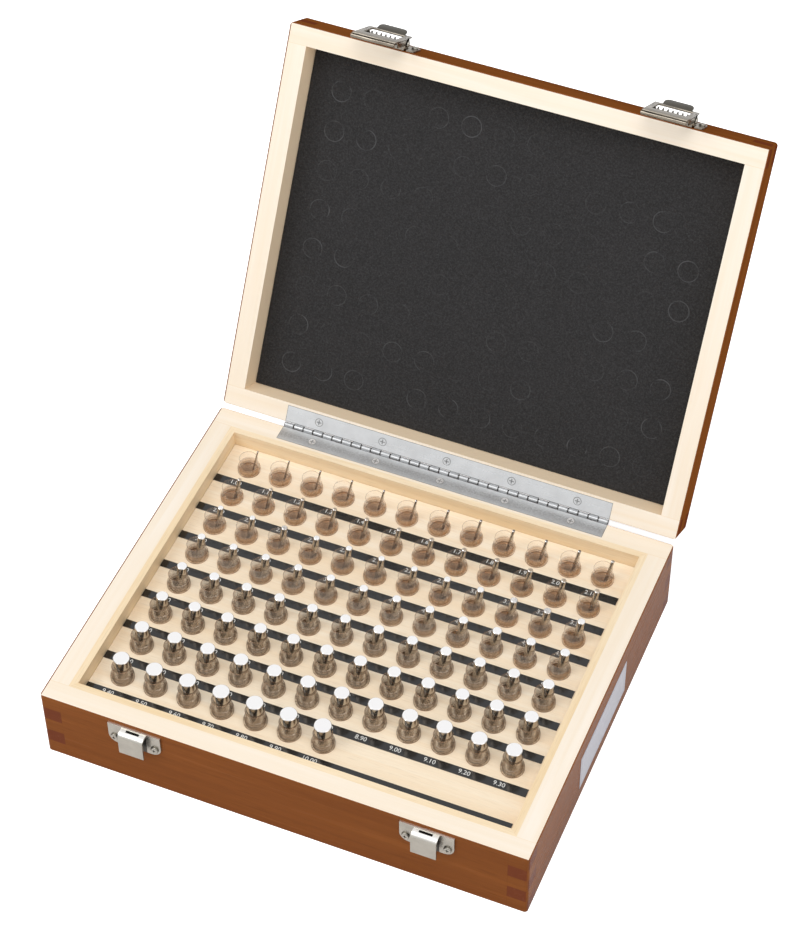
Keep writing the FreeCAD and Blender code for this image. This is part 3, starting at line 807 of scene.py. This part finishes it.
class FoamPad(bpy.types.Operator):
    """Lay the foam pad in the lid, printed by the vials' rims"""
    bl_idname = "gauge_set.foam_pad"
    bl_label = "Foam pad"

    def execute(self, context):
        foam = context.scene.gauge_foam
        low, high = shut_box("lid_foam")
        width, depth, thick = high.x - low.x, high.y - low.y, high.z - low.z
        alone()
        bpy.ops.mesh.primitive_grid_add(
            x_subdivisions=round(width / foam.cell), y_subdivisions=round(depth / foam.cell),
            size=1.0, location=((low.x + high.x) / 2, (low.y + high.y) / 2, low.z))
        context.object.scale = (width, depth, 1.0)
        pad = settle()
        pad.name = "foam_pad"
        self.press(pad, foam, low, high)
        bpy.ops.object.mode_set(mode="EDIT")
        bpy.ops.mesh.select_mode(type="EDGE")
        bpy.ops.mesh.select_all(action="DESELECT")
        bpy.ops.mesh.select_non_manifold(extend=False, use_wire=False, use_boundary=True,
                                         use_multi_face=False, use_non_contiguous=False,
                                         use_verts=False)
        for _ in range(2):
            bpy.ops.mesh.extrude_region_move(
                TRANSFORM_OT_translate={"value": (0.0, 0.0, thick / 2)})
        bpy.ops.mesh.edge_face_add()
        bpy.ops.mesh.select_all(action="SELECT")
        bpy.ops.mesh.normals_make_consistent(inside=False)
        leave()
        for vertex in pad.data.vertices:
            if vertex.co.z > low.z + thick * 0.75:
                vertex.co.z = high.z
        bpy.ops.object.shade_smooth_by_angle(angle=math.radians(50.0))
        pad.data.transform(closing().inverted())
        pad.data.materials.append(foam_skin("foam_cells", foam))
        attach(pad, "lid")
        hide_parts("lid_foam")
        return {"FINISHED"}

    def press(self, pad, foam, low, high):
        """Sink rings where rims press the pad, and round its edges."""
        rings = []
        for row in ROWS:
            for column, (x, y) in enumerate(vial_places(row)):
                outer = max(abs(x) / HALF_WIDTH, abs(y) / HALF_DEPTH) ** 2
                uneven = 0.3 + 0.7 * math.sin(row * 7.3 + column * 3.9) ** 2
                rings.append((x, y, (0.15 + 0.85 * outer) * uneven))
        reach = 0.009
        values = []
        for vertex in pad.data.vertices:
            x, y = vertex.co.x, vertex.co.y
            sink, mark = 0.0, 0.0
            for ring_x, ring_y, strength in rings:
                gap_x, gap_y = x - ring_x, y - ring_y
                if abs(gap_x) > reach or abs(gap_y) > reach:
                    continue
                away = (math.hypot(gap_x, gap_y) - foam.print_radius) / foam.print_width
                sink += strength * foam.print_depth * math.exp(-away * away)
                mark += strength * math.exp(-away * away / 9.0)
            edge = min(x - low.x, high.x - x, y - low.y, high.y - y)
            if edge < foam.edge_round:
                fall = 1.0 - edge / foam.edge_round
                sink += foam.edge_round * 0.6 * (1.0 - math.sqrt(max(0.0, 1.0 - fall * fall)))
            vertex.co.z += sink
            values.append(mark)
        layer = pad.data.attributes.new("pressed", "FLOAT", "POINT")
        layer.data.foreach_set("value", values)


class PianoHinge(bpy.types.Operator):
    """Roll and polish the hinge and its screws"""
    bl_idname = "gauge_set.piano_hinge"
    bl_label = "Piano hinge"

    def execute(self, context):
        metals = context.scene.gauge_metal
        pale = scaled(metals.hinge, 1.25)
        # the base leaf's screws are coloured bright white as a painted highlight; the lid leaf's screws
        # take the paler leaf steel
        for half, lid, roughness, mottling, screw, outline in (
                ("base", False, 0.4, 0.55, metals.lapped_end_and_glint, 0.5), ("lid", True, 0.3, 0.0, pale, 0.55)):
            leaf, screws = f"hinge_{half}_leaf", f"hinge_{half}_screws"
            finish(leaf, metal(f"hinge_{half}_steel", pale, roughness, "x", lid, 1600.0, 0.1,
                               hinge_leaf(leaf, mottling)))
            low, high = shut_box(screws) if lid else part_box(screws)
            head = screw_head(repeated(HINGE_SCREW_PITCH), from_middle("Y", (low.y + high.y) / 2),
                              (high.y - low.y) / 2, outline)
            finish(screws, metal(f"hinge_{half}_screw_steel", screw, 0.35, None, lid, detail=head))
        finish("hinge_pin", metal("hinge_pin_steel", metals.hinge, 0.3, "x"))
        return {"FINISHED"}


class Latches(bpy.types.Operator):
    """Plate the keepers, brackets, springs and screws, and press the two hasps"""
    bl_idname = "gauge_set.latches"
    bl_label = "Latches"

    def execute(self, context):
        metals = context.scene.gauge_metal
        dull = metals.nickel_roughness
        keeper = metal("keeper_nickel", metals.nickel, dull, "x", False, 1500.0, 0.16,
                       keeper_faces(metals.glint))
        bracket = metal("bracket_nickel", metals.hasp, dull, "x", True, 1500.0, 0.3)
        plate = metal("hasp_nickel", metals.hasp, dull - 0.08, "x", True, 1500.0, 0.3)
        # painted shade: a darker copy of the hasp's plating for its thumb tab
        dark = metal("hasp_tab_painted_shade", metals.tab, dull, "x", True, 1500.0, 0.16)
        for side in ("left", "right"):
            finish(f"keeper_{side}", keeper)
            finish(f"latch_bracket_{side}", bracket)
            self.hasp(context, side, plate, dark)
        for node, lid in (("keeper_screws", False), ("latch_screws", True)):
            low, high = shut_box(node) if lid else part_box(node)
            radius = (high.z - low.z) / 2
            head = screw_head(paired(high.x - radius - LATCH_MIDDLE),
                              from_middle("Z", (low.z + high.z) / 2), radius, 0.4)
            finish(node, metal(f"{node}_nickel", metals.nickel, dull, None, lid, detail=head))
        finish("latch_pins", metal("pivot_nickel", metals.nickel, dull - 0.08))
        finish("latch_springs", metal("spring_wire", metals.spring, 0.16))
        return {"FINISHED"}

    def hasp(self, context, side, plate, dark):
        """Windowed plate with a rolled edge, side cheeks and a flared tab, modelled shut."""
        sizes = context.scene.gauge_hasp
        low, high = shut_box(f"hasp_{side}")
        pin_low, pin_high = shut_box("latch_pins")
        pivot_y, pivot_z = (pin_low.y + pin_high.y) / 2, (pin_low.z + pin_high.z) / 2
        middle, half = (low.x + high.x) / 2, (high.x - low.x) / 2
        plate_y = pivot_y - sizes.plate_out
        top, bottom = pivot_z + sizes.top, low.z + sizes.curl
        made = [self.plate(middle, half, plate_y, bottom + sizes.lip, top, bottom, sizes)]
        for way in (-1, 1):
            x = middle + way * (half - sizes.metal / 2)
            made.append(self.cheek(x, pivot_y, pivot_z, sizes))
            made.append(self.flange(x, plate_y, bottom, pivot_z, sizes))
        made.append(self.tab(middle, half, plate_y, top, sizes))
        for piece in made[:-1]:
            piece.data.materials.append(plate)
        made[-1].data.materials.append(dark)
        alone(made[0])
        for piece in made:
            piece.select_set(True)
        bpy.ops.object.join()
        hasp = settle()
        hasp.name = f"hasp_plate_{side}"
        bpy.ops.object.shade_smooth_by_angle(angle=math.radians(35.0))
        hasp.data.transform(closing().inverted())
        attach(hasp, f"hasp_{side}")
        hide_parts(f"hasp_{side}")

    def thicken(self, piece, sizes):
        """Give a sheet its thickness and soften its edges."""
        alone(piece)
        solid = piece.modifiers.new("thickness", "SOLIDIFY")
        solid.thickness = sizes.metal
        solid.offset = 0.0
        bpy.ops.object.modifier_apply(modifier=solid.name)
        bevel = piece.modifiers.new("edges", "BEVEL")
        bevel.width = sizes.metal * 0.22
        bevel.segments = 2
        bevel.limit_method = "ANGLE"
        bevel.angle_limit = math.radians(50.0)
        bpy.ops.object.modifier_apply(modifier=bevel.name)
        return piece

    def sheet(self, middle, width, y, low, high):
        """Upright flat sheet that faces the front."""
        alone()
        bpy.ops.mesh.primitive_plane_add(size=1.0, location=(middle, y, (low + high) / 2),
                                         rotation=(math.radians(90.0), 0.0, 0.0))
        bpy.context.object.scale = (width, high - low, 1.0)
        return settle()

    def pick(self, piece, wanted, kind="EDGE"):
        """Open the mesh with only the edges or points selected whose ends all pass a test."""
        bpy.ops.object.mode_set(mode="EDIT")
        bpy.ops.mesh.select_mode(type=kind)
        bpy.ops.mesh.select_all(action="DESELECT")
        leave()
        places = [vertex.co for vertex in piece.data.vertices]
        if kind == "VERT":
            for vertex in piece.data.vertices:
                vertex.select = wanted(vertex.co)
        else:
            for edge in piece.data.edges:
                edge.select = all(wanted(places[index]) for index in edge.vertices)
        bpy.ops.object.mode_set(mode="EDIT")

    def plate(self, middle, half, y, low, top, bottom, sizes):
        """Plate with a window, its lower edge rolled back."""
        piece = self.sheet(middle, 2 * half, y, low, top)
        edit()
        bpy.ops.mesh.inset(thickness=sizes.window_side)
        bpy.ops.mesh.delete(type="FACE")
        self.pick(piece, lambda place: place.z < low + 0.0001)
        bpy.ops.mesh.extrude_region_move(TRANSFORM_OT_translate={"value": (0.0, 0.0, bottom - low)})
        radius = sizes.curl - sizes.metal / 2
        bpy.ops.mesh.spin(steps=14, angle=math.radians(300.0), center=(middle, y + radius, bottom),
                          axis=(1.0, 0.0, 0.0))
        leave()
        lowest = min(vertex.co.z for vertex in piece.data.vertices)
        if lowest > bottom - radius * 0.9:
            raise RuntimeError("the hasp's edge rolled the wrong way")
        edit()
        bpy.ops.mesh.remove_doubles(threshold=0.00001)
        bpy.ops.mesh.normals_make_consistent(inside=False)
        leave()
        return self.thicken(piece, sizes)

    def cheek(self, x, y, z, sizes):
        """Round ear on the pivot."""
        alone()
        bpy.ops.mesh.primitive_cylinder_add(vertices=40, radius=sizes.cheek, depth=sizes.metal,
                                            location=(x, y, z), rotation=(0.0, math.radians(90.0), 0.0))
        piece = settle()
        edit()
        bpy.ops.mesh.bevel(offset=sizes.metal * 0.3, segments=2, affect="EDGES")
        leave()
        return piece

    def flange(self, x, near_y, bottom, pivot_z, sizes):
        """Side of the hasp, from above the rolled edge to the cheek."""
        alone()
        low, high = bottom + sizes.flange_start, pivot_z + sizes.cheek * 0.4
        far_y = near_y + sizes.flange
        bpy.ops.mesh.primitive_cube_add(size=1.0, location=(x, (near_y + far_y) / 2, (low + high) / 2))
        bpy.context.object.scale = (sizes.metal, far_y - near_y, high - low)
        piece = settle()
        self.pick(piece, lambda place: place.y > far_y - 0.0001 and place.z < low + 0.0001)
        bpy.ops.transform.translate(value=(0.0, 0.0, sizes.flange))
        bpy.ops.mesh.select_all(action="SELECT")
        bpy.ops.mesh.bevel(offset=sizes.metal * 0.2, segments=2, affect="EDGES")
        leave()
        return piece

    def tab(self, middle, half, y, top, sizes):
        """Flared thumb tab with rounded corners."""
        piece = self.sheet(middle, 2 * (half - sizes.tab_setback), y, top - sizes.metal,
                           top + sizes.tab)
        self.pick(piece, lambda place: place.z > top, "VERT")
        bpy.ops.mesh.bevel(offset=sizes.tab_corner, segments=6, affect="VERTICES")
        leave()
        pivot = Vector((middle, y, top - sizes.metal))
        turn = Matrix.Rotation(math.radians(sizes.flare), 4, "X")
        piece.data.transform(Matrix.Translation(pivot) @ turn @ Matrix.Translation(-pivot))
        return self.thicken(piece, sizes)


class SideLabel(bpy.types.Operator):
    """Leave the side label blank but for a thin frame"""
    bl_idname = "gauge_set.side_label"
    bl_label = "Side label"

    def execute(self, context):
        finish("side_label", paper("label_paper", context.scene.gauge_marks.paper))
        return {"FINISHED"}


class Studio(bpy.types.Operator):
    """Lay the floor, hang the lamps and place the camera"""
    bl_idname = "gauge_set.studio"
    bl_label = "Studio"

    def execute(self, context):
        studio = context.scene.gauge_studio
        self.floor(context, studio)
        self.lamp(context, "key_lamp", (-0.95, -0.85, 1.35), 1.1, studio.key)
        self.lamp(context, "top_lamp", (0.25, -0.35, 2.0), 1.2, studio.top)
        self.lamp(context, "fill_lamp", (1.3, -0.5, 0.9), 1.0, studio.fill)
        self.sky(context, studio)
        self.camera(context)
        context.scene.view_settings.view_transform = "Standard"
        return {"FINISHED"}

    def floor(self, context, studio):
        """Pale round floor, which keeps the shadow and looks nearly white."""
        alone()
        bpy.ops.mesh.primitive_circle_add(vertices=96, radius=4.0, fill_type="NGON",
                                          location=(0.0, 0.0, -0.0002))
        edit()
        bpy.ops.mesh.inset(thickness=1.0)
        leave()
        ground = settle()
        ground.name = "ground"
        made, tree, shader = material("ground_paper")
        mottle = noise(tree, coordinates(tree), 3.0, 2.0)
        wire(tree, shader, mix(tree, mottle, studio.ground, scaled(studio.ground, 0.985)), 0.9)
        path = add(tree, "ShaderNodeLightPath")
        mirrored = largest(tree, path.outputs["Is Transmission Ray"], path.outputs["Is Glossy Ray"])
        glow = largest(tree, times(tree, path.outputs["Is Camera Ray"], 0.75),
                       times(tree, mirrored, 0.15))
        shader.inputs["Emission Color"].default_value = (1.0, 1.0, 1.0, 1.0)
        tree.links.new(glow, shader.inputs["Emission Strength"])
        ground.data.materials.append(made)

    def lamp(self, context, name, place, size, watts):
        """Square soft lamp, aimed at the case."""
        bpy.ops.object.light_add(type="AREA", location=place)
        lamp = context.object
        lamp.name = name
        lamp.data.size = size
        lamp.data.energy = watts
        aim = Vector(place) - Vector((0.0, 0.05, 0.08))
        lamp.rotation_euler = aim.to_track_quat("Z", "Y").to_euler()

    def sky(self, context, studio):
        """Even light all round, white where it is seen."""
        world = bpy.data.worlds.new("studio_sky")
        context.scene.world = world
        world.use_nodes = True
        tree = world.node_tree
        path = add(tree, "ShaderNodeLightPath")
        mirrored = largest(tree, path.outputs["Is Transmission Ray"], path.outputs["Is Glossy Ray"])
        background = tree.nodes["Background"]
        background.inputs["Color"].default_value = (1.0, 1.0, 1.0, 1.0)
        strength = largest(tree, path.outputs["Is Camera Ray"],
                           spread(tree, mirrored, 0.0, 1.0, studio.sky, 0.92))
        tree.links.new(strength, background.inputs["Strength"])

    def camera(self, context):
        """Camera at the front right, looking down on the open case."""
        azimuth, elevation, roll = (math.radians(angle) for angle in (21.0, 48.215, 0.978))
        target = Vector((0.01078, 0.13363, 0.03893))
        distance = 1.65908
        back = Vector((math.sin(azimuth) * math.cos(elevation),
                       -math.cos(azimuth) * math.cos(elevation), math.sin(elevation)))
        right = Vector((math.cos(azimuth), math.sin(azimuth), 0.0))
        up = back.cross(right)
        rolled_right = right * math.cos(roll) + up * math.sin(roll)
        rolled_up = up * math.cos(roll) - right * math.sin(roll)
        turn = Matrix((rolled_right, rolled_up, back)).transposed()
        bpy.ops.object.camera_add(location=target + back * distance)
        camera = context.object
        camera.name = "view_camera"
        camera.rotation_euler = turn.to_euler()
        camera.data.lens = 107.04
        camera.data.shift_x = -0.07427
        camera.data.shift_y = 0.01379
        context.scene.camera = camera


class GaugePanel(bpy.types.Panel):
    """Lists the steps that finish the gauge set"""
    bl_idname = "VIEW3D_PT_gauge_set"
    bl_label = "Gauge set"
    bl_space_type = "VIEW_3D"
    bl_region_type = "UI"
    bl_category = "Gauge set"

    def draw(self, context):
        for operator in STEPS:
            self.layout.operator(operator.bl_idname)
        for name, _ in GROUPS:
            group = getattr(context.scene, name)
            box = self.layout.box()
            for key in group.__annotations__:
                box.prop(group, key)


STEPS = (CaseFinish, InnerWood, NumberStrips, Vials, Pins, FoamPad, PianoHinge, Latches, SideLabel,
         Studio)
GROUPS = (("gauge_wood", GaugeWood), ("gauge_marks", GaugeMarks), ("gauge_foam", GaugeFoam),
          ("gauge_metal", GaugeMetal), ("gauge_hasp", GaugeHasp), ("gauge_studio", GaugeStudio))


def register():
    """Add the properties, the operators and the panel."""
    for name, group in GROUPS:
        bpy.utils.register_class(group)
        setattr(bpy.types.Scene, name, PointerProperty(type=group))
    for operator in STEPS:
        bpy.utils.register_class(operator)
    bpy.utils.register_class(GaugePanel)


def unregister():
    """Take them out again."""
    bpy.utils.unregister_class(GaugePanel)
    for operator in reversed(STEPS):
        bpy.utils.unregister_class(operator)
    for name, group in reversed(GROUPS):
        delattr(bpy.types.Scene, name)
        bpy.utils.unregister_class(group)


def main():
    """Run every step."""
    register()
    bpy.ops.gauge_set.case()
    bpy.ops.gauge_set.inner_wood()
    bpy.ops.gauge_set.number_strips()
    bpy.ops.gauge_set.vials()
    bpy.ops.gauge_set.pins()
    bpy.ops.gauge_set.foam_pad()
    bpy.ops.gauge_set.piano_hinge()
    bpy.ops.gauge_set.latches()
    bpy.ops.gauge_set.side_label()
    bpy.ops.gauge_set.studio()


if __name__ == "__main__":
    main()
